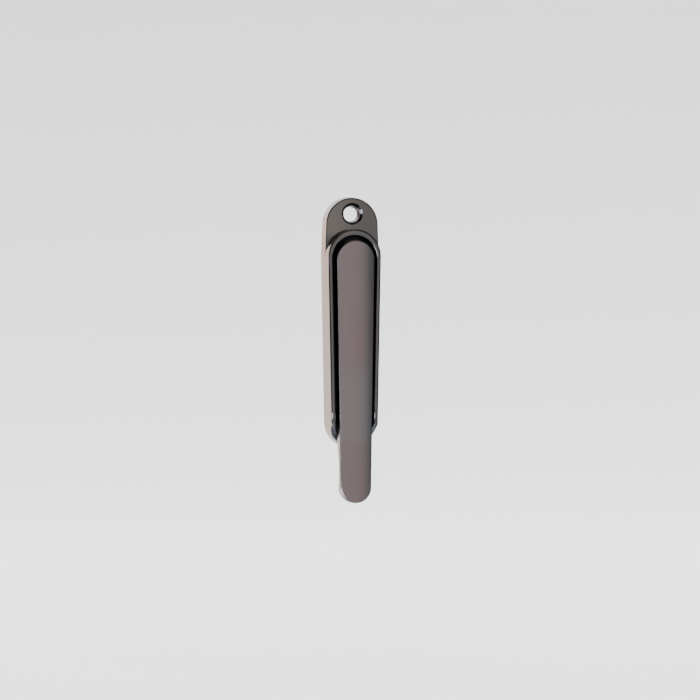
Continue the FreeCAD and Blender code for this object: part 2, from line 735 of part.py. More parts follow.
def hinge_of_lever(body):
    """Two ears on the pin, with a pocket between them for the hub's lug."""
    sketch = new_sketch(body, "ear_profile", "YZ_Plane")
    profile(sketch, (
        ("-ear_low_height", "ear_low_z", "ear_corner"),
        ("-ear_low_height", "ear_top_z", "ear_corner"),
        ("-ear_root_height", "ear_top_z"),
        ("-ear_root_height", "ear_low_z"),
    ))
    feature(body, "Pad", "ears", sketch, "ear_span", symmetric=True)
    sketch = new_sketch(body, "pocket_outline", "XZ_Plane", "pocket_start_height")
    profile(sketch, (
        ("-pocket_half_width", "pocket_low_z"),
        ("pocket_half_width", "pocket_low_z"),
        ("pocket_half_width", "pocket_top_z"),
        ("-pocket_half_width", "pocket_top_z"),
    ))
    feature(body, "Pocket", "pocket", sketch, "pocket_height", backwards=True)
    sketch = circle(new_sketch(body, "pin_circle", "YZ_Plane"), "ear_hole_radius", "-pin_height", "pin_z")
    feature(body, "Pocket", "pin_hole", sketch, "ear_span", symmetric=True)


def lift_pin():
    """The steel pin that the lever lifts about, pressed into both ears."""
    body = new_body("lift_pin")
    sketch = circle(new_sketch(body, "circle", "YZ_Plane"), "pin_radius", "-pin_height", "pin_z")
    feature(body, "Pad", "rod", sketch, "pin_length", symmetric=True)
    dress(body, "Chamfer", "ends", lambda edge: edge.BoundBox.XLength < TOUCH, "pin_chamfer")
    return body


def lift_spring():
    """The wire spring around the pin that holds the lever shut: a close coil and two straight legs."""
    wire = size("spring_wire") / 2
    coil = size("coil_radius")
    pitch = size("spring_wire") + 2 * size("running_clearance")
    length = pitch * size("spring_turns")
    helix = Part.makeHelix(pitch, length, coil)
    start, end = helix.Edges[0].firstVertex().Point, helix.Edges[-1].lastVertex().Point
    leg = size("spring_leg")
    first_leg = Part.makeLine(start - Vector(0, leg, 0), start)
    last_leg = Part.makeLine(end, end - Vector(0, leg, 0))
    path = Part.Wire([first_leg, *helix.Edges, last_leg])
    outline = Part.Wire(Part.makeCircle(wire, start - Vector(0, leg, 0), Vector(0, 1, 0)))
    solid = path.makePipeShell([outline], True, False)
    spring = document.addObject("Part::Feature", "lift_spring")
    spring.Shape = solid
    spring.Label = "lift_spring"
    spring.Placement = FreeCAD.Placement(
        Vector(-length / 2, -size("pin_height"), size("pin_z")),
        FreeCAD.Rotation(Vector(0, -1, 0), Vector(0, 0, -1), Vector(1, 0, 0), "XYZ"),
    )
    return spring


# Build every piece, check it and write it

pieces = (
    housing(), hub(), spindle(), bearing_bush(), thrust_washer(), wave_washer(), retaining_ring(),
    lever(), lift_pin(), lift_spring(),
)
document.recompute()
for thing in document.Objects:
    if "Invalid" in thing.State or "Error" in thing.State:
        raise RuntimeError(f"{thing.Name}: {thing.State}")
for piece in pieces:
    if piece.Shape.isNull() or not piece.Shape.isValid():
        raise RuntimeError(f"{piece.Label} has no sound shape")
for piece in pieces:
    piece.Shape.exportStep(f"parts/{piece.Label}.step")
    box = piece.Shape.BoundBox
    print(f"{piece.Label}: {len(piece.Shape.Solids)} solid, {piece.Shape.Volume:.1f} mm3, {box}")
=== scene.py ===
# %% [markdown]
# The lift and turn handle as it was packed comes in as a fixed frame.
# Every later step measures it and dresses it, and none of them moves it.

import math

import bpy
import numpy as np
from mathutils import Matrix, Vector

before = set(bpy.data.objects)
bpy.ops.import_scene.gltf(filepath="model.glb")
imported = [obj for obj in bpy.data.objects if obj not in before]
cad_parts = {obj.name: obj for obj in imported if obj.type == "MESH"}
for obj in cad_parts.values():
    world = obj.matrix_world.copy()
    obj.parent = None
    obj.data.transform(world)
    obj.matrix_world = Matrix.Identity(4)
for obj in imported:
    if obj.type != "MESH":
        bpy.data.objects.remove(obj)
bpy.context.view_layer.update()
print("packed pieces:", ", ".join(sorted(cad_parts)))

# %% [markdown]
# All lengths on the drawing are millimetres and Blender works in metres, so one named factor joins them.
# Colours are picked as sRGB hex values, the way a finisher's chart gives them.
# A shader wants linear light, so one function does that conversion for the whole file.

# %% Units and colours
MM = 0.001


def colour(hex_value, strength=1.0):
    """sRGB hex to linear RGBA: a channel below 0.04045 is divided by 12.92, else a 2.4 power is taken."""
    channels = np.array([int(hex_value[i:i + 2], 16) for i in (1, 3, 5)]) / 255
    linear = np.where(channels <= 0.04045, channels / 12.92, ((channels + 0.055) / 1.055) ** 2.4)
    return (*(linear * strength).tolist(), 1.0)


print("mid grey is linear", round(colour("#808080")[0], 3))

# %% [markdown]
# The photograph was taken from the handle's left and level with it, through a long lens.
# A long lens from far off keeps the two long sides of the housing parallel, so the camera stands back
# and the focal length follows from the width of the picture at the handle.
# The point in the middle of the picture was read against the spindle's axis.

# %% Camera at the photograph's angle
CAMERA_AZIMUTH = math.radians(-16.0)
CAMERA_DISTANCE = 2400 * MM
PICTURE_WIDTH = 297.5 * MM
PICTURE_MIDDLE_HEIGHT = -38.3 * MM
PICTURE_MIDDLE_ACROSS = 0.64 * MM
CLIP_NEAR, CLIP_FAR = 0.05, 20.0

towards_camera = Vector((math.sin(CAMERA_AZIMUTH), -math.cos(CAMERA_AZIMUTH), 0))
picture_right = Vector((math.cos(CAMERA_AZIMUTH), math.sin(CAMERA_AZIMUTH), 0))
picture_middle = picture_right * PICTURE_MIDDLE_ACROSS + Vector((0, 0, PICTURE_MIDDLE_HEIGHT))

lens = bpy.data.cameras.new("long_lens")
lens.lens = lens.sensor_width * CAMERA_DISTANCE / PICTURE_WIDTH
lens.clip_start, lens.clip_end = CLIP_NEAR, CLIP_FAR
camera = bpy.data.objects.new("camera", lens)
camera.location = picture_middle + towards_camera * CAMERA_DISTANCE
camera.rotation_mode = "QUATERNION"
camera.rotation_quaternion = (-towards_camera).to_track_quat("-Z", "Y")
bpy.context.collection.objects.link(camera)
bpy.context.scene.camera = camera
print(f"focal length {lens.lens:.0f} mm, camera at {tuple(round(v, 3) for v in camera.location)}")

# %% [markdown]
# Materials are built from nodes, and the same steps come back for every node: make it, set it, link it.
# One small helper does that. It takes the node's type, its settings, its input values and its links,
# and there is no function of its own for any kind of node.

# %% One helper that adds a node


def add(tree, kind, inputs=None, **settings):
    """A new node: settings are its own properties, and inputs are values or sockets by name or number."""
    node = tree.nodes.new(kind)
    for name, value in settings.items():
        setattr(node, name, value)
    for key, value in (inputs or {}).items():
        if isinstance(value, bpy.types.NodeSocket):
            tree.links.new(value, node.inputs[key])
        else:
            node.inputs[key].default_value = value
    return node


def new_material(name):
    """A material with an empty node tree and its output node."""
    material = bpy.data.materials.new(name)
    material.use_nodes = True
    material.node_tree.nodes.clear()
    return material, material.node_tree, add(material.node_tree, "ShaderNodeOutputMaterial")


print("node helper ready")

# %% [markdown]
# The floor is a plain pale sweep: paper that lies flat under the handle and curls up all round it.
# It could be a plane, but a plane ends in a hard line behind the handle.
# A profile turned about the upright axis has no corner from any side. It is flat first,
# then a quarter circle, then a wall. The sweep is large, so its sizes are written in metres.

# %% Pale sweep
PAPER_WHITE = "#dfe0e0"
SWEEP_FLOOR = -175 * MM
SWEEP_RINGS = (0.001, 0.5, 1.2)
SWEEP_FLAT = 2.2
SWEEP_CURL = 1.4
SWEEP_WALL = 1.6
SWEEP_STEPS = 96
CURL_STEPS = 24


def turned(profile, steps):
    """A profile turned about the upright axis: (r cos a, r sin a, z) for each (r, z) and angle a."""
    angle = np.linspace(0, 2 * np.pi, steps, endpoint=False)
    radius, height = profile[:, 0, None], profile[:, 1, None]
    return np.stack([radius * np.cos(angle), radius * np.sin(angle), height + 0 * angle], axis=-1)


def mesh_from_grid(name, grid, material):
    """A mesh of four-sided faces between the rows of a grid that closes on itself sideways."""
    rows, columns = grid.shape[:2]
    index = np.arange(rows * columns).reshape(rows, columns)
    beside = np.roll(index, -1, axis=1)
    faces = np.stack([index[:-1], beside[:-1], beside[1:], index[1:]], axis=-1).reshape(-1, 4)
    mesh = bpy.data.meshes.new(name)
    mesh.from_pydata(grid.reshape(-1, 3), [], faces.tolist())
    mesh.shade_smooth()
    mesh.materials.append(material)
    made = bpy.data.objects.new(name, mesh)
    bpy.context.collection.objects.link(made)
    return made


# Matt seamless paper: it scatters all light alike, so it shows the lamps as a soft even grey.
paper, tree, output = new_material("pale_paper")
sheet = add(tree, "ShaderNodeBsdfDiffuse", {"Color": colour(PAPER_WHITE), "Roughness": 1.0})
tree.links.new(sheet.outputs[0], output.inputs["Surface"])

curl = np.linspace(0, np.pi / 2, CURL_STEPS)
sweep_profile = np.concatenate([
    [[radius, SWEEP_FLOOR] for radius in SWEEP_RINGS],
    np.stack([
        SWEEP_FLAT + SWEEP_CURL * np.sin(curl),
        SWEEP_FLOOR + SWEEP_CURL * (1 - np.cos(curl)),
    ], axis=-1),
    [[SWEEP_FLAT + SWEEP_CURL, SWEEP_FLOOR + SWEEP_CURL + SWEEP_WALL]],
])
sweep = mesh_from_grid("pale_sweep", turned(sweep_profile, SWEEP_STEPS), paper)
sweep.visible_glossy = False
print(f"sweep: {len(sweep.data.polygons)} faces, floor at {SWEEP_FLOOR / MM:.0f} mm")

# %% [markdown]
# A polished metal has almost no colour of its own: what the eye sees in it is the room.
# The room is given as soft panels by compass bearing,
# where 0 is in front of the handle and positive is to its right.
# The bearings follow from the mirror rule. The camera stands 16 degrees to the left,
# so a face that is turned by a degrees from the front shows it the panel at 2a + 16.

# %% Studio panels that the metal mirrors
# Each row holds a bearing in degrees, a colour and a strength, and the ramp blends from row to row.
PANELS = (
    (-180, "#ffffff", 2.20),
    (-172, "#fffaf6", 2.80),
    (-164, "#fff4ee", 3.30),
    (-157, "#ffe0d2", 3.70),
    (-148, "#ffe0d2", 3.30),
    (-138, "#c8ccd2", 1.00),
    (-126, "#aab2bc", 0.30),
    (-90, "#aab2bc", 0.42),
    (-55, "#c8ccd2", 0.60),
    (-25, "#dcdee2", 0.78),
    (-8, "#f6f1f1", 0.98),
    (14, "#fbf3f1", 0.92),
    (24, "#f6f0f0", 0.84),
    (29, "#dee6e6", 0.73),
    (34, "#b8c8d0", 0.46),
    (38, "#a8bcc8", 0.36),
    (50, "#9aa0b0", 0.30),
    (95, "#8c92a4", 0.26),
    (108, "#a8a8b0", 0.28),
    (125, "#8c92a4", 0.16),
    (150, "#8c92a4", 0.16),
    (166, "#ffffff", 1.40),
    (180, "#ffffff", 2.20),
)

world = bpy.data.worlds.new("studio")
world.use_nodes = True
bpy.context.scene.world = world
tree = world.node_tree
tree.nodes.clear()
direction = add(tree, "ShaderNodeTexCoord").outputs["Generated"]
axes = add(tree, "ShaderNodeSeparateXYZ", {0: direction})
forward = add(tree, "ShaderNodeMath", {0: axes.outputs["Y"], 1: -1.0}, operation="MULTIPLY")
bearing = add(tree, "ShaderNodeMath", {0: axes.outputs["X"], 1: forward.outputs[0]}, operation="ARCTAN2")
turn_share = add(tree, "ShaderNodeMapRange", {
    "Value": bearing.outputs[0], "From Min": -math.pi, "From Max": math.pi,
})
ring = add(tree, "ShaderNodeValToRGB", {"Fac": turn_share.outputs[0]})
stops = ring.color_ramp.elements
for degrees, *_ in PANELS[1:-1]:
    stops.new((degrees + 180) / 360)
for stop, (degrees, tint, strength) in zip(stops, PANELS):
    stop.color = colour(tint, strength)
print("panels:", len(PANELS))

# %% [markdown]
# Overhead the ring of panels gives way to a dim ceiling, so that the metal's upward faces are dark.
# Behind the handle the ring reaches further up, as a lit wall does, and in front the ceiling dips.
# A soft lamp straight above gives the upper edges a thin pale line between two dark ones.

# %% Ceiling and the lamp overhead
BEHIND_FROM, BEHIND_FULL = -0.3, 0.3
CEILING = colour("#c8d0da", 0.05)
CEILING_STARTS, CEILING_ENDS = 0.36, 0.62
CEILING_DIPS = 0.22
CEILING_RISES = -0.30
OVERHEAD = colour("#f2f2f4", 0.50)
OVERHEAD_STARTS, OVERHEAD_ENDS = 0.80, 0.92

behind = add(tree, "ShaderNodeMapRange", {
    "Value": axes.outputs["Y"], "From Min": BEHIND_FROM, "From Max": BEHIND_FULL,
})
before = add(tree, "ShaderNodeMath", {0: 1.0, 1: behind.outputs[0]}, operation="SUBTRACT")
lifted = add(tree, "ShaderNodeMath", {
    0: behind.outputs[0], 1: CEILING_RISES, 2: axes.outputs["Z"],
}, operation="MULTIPLY_ADD")
raised = add(tree, "ShaderNodeMath", {
    0: before.outputs[0], 1: CEILING_DIPS, 2: lifted.outputs[0],
}, operation="MULTIPLY_ADD")
upward = add(tree, "ShaderNodeMapRange", {
    "Value": raised.outputs[0], "From Min": CEILING_STARTS, "From Max": CEILING_ENDS,
}, interpolation_type="SMOOTHSTEP")
with_ceiling = add(tree, "ShaderNodeMix", {
    0: upward.outputs[0], 6: ring.outputs["Color"], 7: CEILING,
}, data_type="RGBA")
over_all = add(tree, "ShaderNodeMapRange", {
    "Value": axes.outputs["Z"], "From Min": OVERHEAD_STARTS, "From Max": OVERHEAD_ENDS,
}, interpolation_type="SMOOTHSTEP")
with_overhead = add(tree, "ShaderNodeMix", {
    0: over_all.outputs[0], 6: with_ceiling.outputs[2], 7: OVERHEAD,
}, data_type="RGBA")
print("ceiling starts at height", CEILING_STARTS, "of a direction of length 1")

# %% [markdown]
# Below the handle lies an evenly lit table, and behind the handle it starts lower than in front.
# Straight down it is brighter and bluer, so that the scooped end isn't black.
# Last, one low window stands on the left. It is a patch of the same sky, bounded in bearing and in height,
# and it makes the white glints where the rim dips into its scooped end.

# %% Table below and the low window
GROUND_STARTS, GROUND_ENDS = -0.05, -0.14
GROUND_DROPS = 0.42
# Each row holds a direction's height, from -1 straight down to 0 level, a colour and a strength.
GROUND_BANDS = (
    (-1.00, "#bfc4d0", 1.70),
    (-0.82, "#bfc4d0", 1.60),
    (-0.62, "#c8ccd8", 0.85),
    (-0.46, "#e6e6ea", 0.80),
    (0.00, "#e6e6ea", 0.80),
)
WINDOW = colour("#f4f8ff", 9.0)
WINDOW_SIDES = [math.radians(edge) for edge in (-95, -85, -30, -18)]
WINDOW_HEIGHTS = (-0.55, -0.48, -0.12, -0.07)


def between(tree, value, edges):
    """1 inside a range and 0 outside it, with a soft step at each end: edges are four rising values."""
    low, low_full, high_full, high = edges
    rise = add(tree, "ShaderNodeMapRange", {
        "Value": value, "From Min": low, "From Max": low_full,
    }, interpolation_type="SMOOTHSTEP")
    fall = add(tree, "ShaderNodeMapRange", {
        "Value": value, "From Min": high, "From Max": high_full,
    }, interpolation_type="SMOOTHSTEP")
    both = add(tree, "ShaderNodeMath", {0: rise.outputs[0], 1: fall.outputs[0]}, operation="MULTIPLY")
    return both.outputs[0]


sunk = add(tree, "ShaderNodeMath", {
    0: behind.outputs[0], 1: GROUND_DROPS, 2: axes.outputs["Z"],
}, operation="MULTIPLY_ADD")
downward = add(tree, "ShaderNodeMapRange", {
    "Value": sunk.outputs[0], "From Min": GROUND_STARTS, "From Max": GROUND_ENDS,
}, interpolation_type="SMOOTHSTEP")
above_bottom = add(tree, "ShaderNodeMath", {0: axes.outputs["Z"], 1: 1.0}, operation="ADD")
ground = add(tree, "ShaderNodeValToRGB", {"Fac": above_bottom.outputs[0]})
bands = ground.color_ramp.elements
for height, *_ in GROUND_BANDS[1:-1]:
    bands.new(height + 1)
for band, (height, tint, strength) in zip(bands, GROUND_BANDS):
    band.color = colour(tint, strength)
with_ground = add(tree, "ShaderNodeMix", {
    0: downward.outputs[0], 6: with_overhead.outputs[2], 7: ground.outputs["Color"],
}, data_type="RGBA")

sideways = between(tree, bearing.outputs[0], WINDOW_SIDES)
upright = between(tree, axes.outputs["Z"], WINDOW_HEIGHTS)
window_share = add(tree, "ShaderNodeMath", {0: sideways, 1: upright}, operation="MULTIPLY")
whole_sky = add(tree, "ShaderNodeMix", {
    0: window_share.outputs[0], 6: with_ground.outputs[2], 7: WINDOW,
}, data_type="RGBA")
background = add(tree, "ShaderNodeBackground", {"Color": whole_sky.outputs[2], "Strength": 1.0})
add(tree, "ShaderNodeOutputWorld", {"Surface": background.outputs[0]})
print("table and window joined to the ring:", len(GROUND_BANDS), "bands below")

# %% [markdown]
# The paper itself needs light that scatters, or it would be as dark as the panels are narrow.
# Large square lamps high above give shadows with no edge, as on a cloudy day.
# They are hidden from the metal, so that they add no square spots to it.

# %% Soft lamps for the paper
# Each row holds a name, a place and a width in metres, and a power in watts.
LAMPS = (
    ("lamp_over_front", (0.0, -1.0, 2.2), 2.6, 150.0),
    ("lamp_over_back", (0.0, 1.4, 2.2), 2.6, 150.0),
    ("lamp_over_left", (-1.6, 0.0, 1.8), 2.0, 40.0),
    ("lamp_over_right", (1.8, 1.2, 1.6), 2.0, 60.0),
)
for name, place, width, watts in LAMPS:
    lamp = bpy.data.lights.new(name, "AREA")
    lamp.shape, lamp.size, lamp.energy = "SQUARE", width, watts
    holder = bpy.data.objects.new(name, lamp)
    holder.location = place
    holder.rotation_mode = "QUATERNION"
    holder.rotation_quaternion = (-Vector(place)).to_track_quat("-Z", "Y")
    holder.visible_glossy = False
    bpy.context.collection.objects.link(holder)
print("lamps:", ", ".join(name for name, *_ in LAMPS))

# %% [markdown]
# The housing and the lever are zinc castings that were polished and plated in black nickel.
# The plating follows the polished metal, so the shader is a grey-brown metal with a low roughness.
# Polishing belts leave very fine lines along the part, a few hundredths of a millimetre apart.
# Those would vanish in the picture, so they are drawn 0.7 mm wide, which is the finest that still shows.
# The plating's tone also drifts a little over the part, in patches a few centimetres long.

# %% Black nickel: tint and polish
BELT_LINE = 0.7 * MM
BELT_LENGTH = 18 * MM
# Noise lies mostly between these two values, so this stretch is spread over the whole range.
LINES_LOW, LINES_HIGH = 0.3, 0.7
STREAK_DARK, STREAK_PALE = 0.95, 1.05
SMOOTHER, ROUGHER = 0.8, 1.3
TINT_PATCH = (16 * MM, 16 * MM, 34 * MM)
PATCH_LOW, PATCH_HIGH = 0.35, 0.65
POLISH_WAVE = 9 * MM


def polished_nickel(tree, place, tints, roughness, wave_height, line_height):
    """Tint, roughness and normal of bright black nickel, from noise that is stretched along the part."""
    stretched = add(tree, "ShaderNodeMapping", {
        "Vector": place, "Scale": (1 / BELT_LINE, 1 / BELT_LINE, 1 / BELT_LENGTH),
    })
    lines = add(tree, "ShaderNodeTexNoise", {"Vector": stretched.outputs[0], "Scale": 1.0, "Detail": 4.0})
    spread = add(tree, "ShaderNodeMapping", {"Vector": place, "Scale": [1 / size for size in TINT_PATCH]})
    patches = add(tree, "ShaderNodeTexNoise", {"Vector": spread.outputs[0], "Scale": 1.0, "Detail": 2.0})
    waves = add(tree, "ShaderNodeTexNoise", {"Vector": place, "Scale": 1 / POLISH_WAVE, "Detail": 1.0})
    patch_share = add(tree, "ShaderNodeMapRange", {
        "Value": patches.outputs[0], "From Min": PATCH_LOW, "From Max": PATCH_HIGH,
    })
    warm, cool = tints
    tint = add(tree, "ShaderNodeMix", {
        0: patch_share.outputs[0], 6: colour(warm), 7: colour(cool),
    }, data_type="RGBA")
    streak = add(tree, "ShaderNodeMapRange", {
        "Value": lines.outputs[0], "From Min": LINES_LOW, "From Max": LINES_HIGH,
        "To Min": STREAK_DARK, "To Max": STREAK_PALE,
    })
    streaked = add(tree, "ShaderNodeVectorMath", {
        0: tint.outputs[2], "Scale": streak.outputs[0],
    }, operation="SCALE")
    blur = add(tree, "ShaderNodeMapRange", {
        "Value": lines.outputs[0], "From Min": LINES_LOW, "From Max": LINES_HIGH,
        "To Min": roughness * SMOOTHER, "To Max": roughness * ROUGHER,
    })
    slow = add(tree, "ShaderNodeBump", {
        "Height": waves.outputs[0], "Strength": 1.0, "Distance": wave_height,
    })
    fine = add(tree, "ShaderNodeBump", {
        "Height": lines.outputs[0], "Strength": 1.0, "Distance": line_height, "Normal": slow.outputs[0],
    })
    return streaked.outputs[0], blur.outputs[0], fine.outputs[0]


print("belt lines every", round(BELT_LINE / MM, 2), "mm")

# %% [markdown]
# The lever has the housing's plating, but it is paler and warmer, as a longer polish would leave it.
# A cooler band lies across its lower half. Beside and behind its face the lever is painted darker,
# as painted shade. Both are mixed in by where a point lies and by which way it faces.

# %% Lever finish
LEVER_TINTS = ("#8c8080", "#898182")
LEVER_ROUGHNESS = 0.18
LEVER_WAVE_HEIGHT = 0.010 * MM
LEVER_LINE_HEIGHT = 0.0006 * MM
LEVER_COOL = "#8a8586"
LEVER_COOL_BAND = [height_mm * MM for height_mm in (-79, -75, -54, -42)]
# Painted shade: the darker tint of the lever's flanks, which turn away from the front.
LEVER_FLANK_SHADE = "#656163"
FLANK_FROM, FLANK_FULL = -0.6, -0.3

# Bright black nickel on a polished zinc casting: a grey-brown mirror that belt lines soften lengthwise.
lever_finish, tree, output = new_material("black_nickel_on_lever_with_painted_shade")
where = add(tree, "ShaderNodeTexCoord")
place = where.outputs["Object"]
height = add(tree, "ShaderNodeSeparateXYZ", {0: place}).outputs["Z"]
facing = add(tree, "ShaderNodeSeparateXYZ", {0: where.outputs["Normal"]}).outputs["Y"]
tint, blur, relief = polished_nickel(
    tree, place, LEVER_TINTS, LEVER_ROUGHNESS, LEVER_WAVE_HEIGHT, LEVER_LINE_HEIGHT)
cooler = add(tree, "ShaderNodeMix", {
    0: between(tree, height, LEVER_COOL_BAND), 6: tint, 7: colour(LEVER_COOL),
}, data_type="RGBA")
# Painted shade on the flanks: the further a face turns from the front, the more of the darker tint it gets.
painted_flank_shade = add(tree, "ShaderNodeMapRange", {
    "Value": facing, "From Min": FLANK_FROM, "From Max": FLANK_FULL,
})
whole_tint = add(tree, "ShaderNodeMix", {
    0: painted_flank_shade.outputs[0], 6: cooler.outputs[2], 7: colour(LEVER_FLANK_SHADE),
}, data_type="RGBA")
metal = add(tree, "ShaderNodeBsdfPrincipled", {
    "Base Color": whole_tint.outputs[2], "Metallic": 1.0, "Roughness": blur, "Normal": relief,
})
tree.links.new(metal.outputs[0], output.inputs["Surface"])
print("finish:", lever_finish.name)

# %% [markdown]
# The housing has the same plating, but not one polish all over. The wheel reaches its outside and its rim,
# while the floor of the channel keeps the fine grain of the casting and looks dull, and its nearly black
# tint is painted shade.
# The finishes could be several materials on picked faces, but then a hard line would part them.
# Instead, every place is worked out from the coordinates and from three measures beside them:
# how far a point is inside the channel's wall, how far from the screw, and which way the surface faces.

# %% Housing finish: measures of a place
CHANNEL_TOP = 0.45 * MM
CHANNEL_REACH = 9.75 * MM
# The channel's half width shrinks by this share of the way down.
CHANNEL_NARROWS = 0.0185
SCREW_HEIGHT = 19.4 * MM

# The same plating on the larger casting: bright where the wheel reached and dull where it didn't, with
# painted shade and painted light laid over some places.
housing_finish, tree, output = new_material("black_nickel_on_zinc_with_painted_light_and_shade")
where = add(tree, "ShaderNodeTexCoord")
place = where.outputs["Object"]
facing = add(tree, "ShaderNodeSeparateXYZ", {0: where.outputs["Normal"]}).outputs["Y"]
parts = add(tree, "ShaderNodeSeparateXYZ", {0: place})
across, depth, height = parts.outputs["X"], parts.outputs["Y"], parts.outputs["Z"]

above_top = add(tree, "ShaderNodeMath", {0: height, 1: CHANNEL_TOP}, operation="SUBTRACT").outputs[0]
upper = add(tree, "ShaderNodeMath", {0: above_top, 1: 0.0}, operation="MAXIMUM")
lower = add(tree, "ShaderNodeMath", {0: above_top, 1: 0.0}, operation="MINIMUM")
from_top = add(tree, "ShaderNodeCombineXYZ", {"X": across, "Z": upper.outputs[0]})
from_middle = add(tree, "ShaderNodeVectorMath", {0: from_top.outputs[0]}, operation="LENGTH")
reach = add(tree, "ShaderNodeMath", {
    0: lower.outputs[0], 1: CHANNEL_NARROWS, 2: CHANNEL_REACH,
}, operation="MULTIPLY_ADD")
from_wall = add(tree, "ShaderNodeMath", {
    0: reach.outputs[0], 1: from_middle.outputs["Value"],
}, operation="SUBTRACT").outputs[0]

flat_place = add(tree, "ShaderNodeCombineXYZ", {"X": across, "Z": height})
from_screw = add(tree, "ShaderNodeVectorMath", {
    0: flat_place.outputs[0], 1: (0, 0, SCREW_HEIGHT),
}, operation="DISTANCE").outputs["Value"]
print("the channel's wall stands", round(CHANNEL_REACH / MM, 2), "mm from the middle at its top")

# %% [markdown]
# Each measure now becomes a share from 0 to 1, which rises or falls between two values of the measure.
# A short way between the two gives a crisp line and a long way gives a slow change of tone.
# One loop makes them all, so that a new place is one more line in the table.

# %% Housing finish: where each place begins and ends
EDGE = 0.3 * MM
RIM_FOOT = -9.3 * MM
SCOOP_BEGINS = -65 * MM
SCOOP_FADE = 4 * MM
HOLE_REACH = 4.5 * MM
PLATE_FOOT = 9 * MM
PLATE_FADE = 3 * MM
# Painted light: where the plate's left side starts and reaches its full paler tint.
PLATE_LIGHT_FROM, PLATE_LIGHT_FULL = 4 * MM, -7 * MM
BRUSHED_BELOW = -70 * MM
RIM_EDGE_FOOT = -9.35 * MM
ROUNDING_FROM, ROUNDING_FULL = -0.96, -0.80
BACK_FROM, BACK_FULL = 0.4, 0.8
FRONT_FROM, FRONT_FULL = -0.2, -0.7

share = {}
for name, value, zero, full in (
    ("inside", from_wall, -EDGE, EDGE),
    ("below rim", depth, RIM_FOOT - EDGE, RIM_FOOT + EDGE),
    ("over scoop", height, SCOOP_BEGINS, SCOOP_BEGINS + SCOOP_FADE),
    ("screw hole", from_screw, HOLE_REACH + EDGE, HOLE_REACH - EDGE),
    ("plate", height, PLATE_FOOT, PLATE_FOOT + PLATE_FADE),
    ("plate's left", across, PLATE_LIGHT_FROM, PLATE_LIGHT_FULL),
    ("low down", height, BRUSHED_BELOW + EDGE, BRUSHED_BELOW - EDGE),
    ("top of rim", depth, RIM_EDGE_FOOT + EDGE / 2, RIM_EDGE_FOOT - EDGE / 2),
    ("rounding", facing, ROUNDING_FROM, ROUNDING_FULL),
    ("back", facing, BACK_FROM, BACK_FULL),
    ("front", facing, FRONT_FROM, FRONT_FULL),
):
    ends = {"Value": value, "From Min": zero, "From Max": full}
    share[name] = add(tree, "ShaderNodeMapRange", ends).outputs[0]
print("shares:", ", ".join(share))

# %% [markdown]
# A place with several limits is the product of its shares, because it ends where any one of them does.
# The channel is dull, and its nearly black tint is painted shade. The screw hole is painted darker than the
# plate round it, as painted shade, and the plate's left side is painted paler, as painted light.
# The rim's outer rounding is painted darkest, as painted shade, most of all halfway down.
# The scooped end is brushed, and its paler, bluer tint is painted light; the back keeps the skin of the
# casting under its plating.
# One loop lays these tones over the polished finish in turn.

# %% Housing finish: tones
HOUSING_TINTS = ("#6c6866", "#686969")
HOUSING_ROUGHNESS = 0.15
HOUSING_WAVE_HEIGHT = 0.016 * MM
HOUSING_LINE_HEIGHT = 0.0004 * MM
BRUSHED_FRONT = -4.5 * MM
RIM_SHADE_HEIGHTS = [height_mm * MM for height_mm in (-76, -40, -6, 0)]

in_channel = add(tree, "ShaderNodeMath", {0: share["inside"], 1: share["below rim"]}, operation="MULTIPLY")
# Painted shade: the channel inside the rim, down to the scooped end, gets a nearly black tint; its dullness
# and cast grain are real.
unpolished_and_shaded = add(tree, "ShaderNodeMath", {
    0: in_channel.outputs[0], 1: share["over scoop"],
}, operation="MULTIPLY").outputs[0]
# Painted light: the plate's left side is given a paler tint, standing in for the brighter reflection there.
painted_plate_light = add(tree, "ShaderNodeMath", {0: share["plate"], 1: share["plate's left"]}, operation="MULTIPLY")
# Painted light: the brushed low front of the channel and scooped end gets a paler, bluer tint; its higher
# roughness is the brushing.
in_front = add(tree, "ShaderNodeMath", {0: depth, 1: BRUSHED_FRONT}, operation="LESS_THAN")
low_front = add(tree, "ShaderNodeMath", {
    0: in_front.outputs[0], 1: share["low down"],
}, operation="MULTIPLY")
brushed = add(tree, "ShaderNodeMath", {0: share["inside"], 1: low_front.outputs[0]}, operation="MULTIPLY")
# Painted shade: the rim's outer rounding, where it turns away from the front, is tinted darkest, most of
# all halfway down.
on_rounding = add(tree, "ShaderNodeMath", {
    0: share["rounding"], 1: between(tree, height, RIM_SHADE_HEIGHTS),
}, operation="MULTIPLY")
outside = add(tree, "ShaderNodeMath", {
    0: share["top of rim"], 1: share["inside"],
}, operation="SUBTRACT", use_clamp=True)
painted_rim_shade = add(tree, "ShaderNodeMath", {
    0: on_rounding.outputs[0], 1: outside.outputs[0],
}, operation="MULTIPLY")

tint, blur, relief = polished_nickel(
    tree, place, HOUSING_TINTS, HOUSING_ROUGHNESS, HOUSING_WAVE_HEIGHT, HOUSING_LINE_HEIGHT)
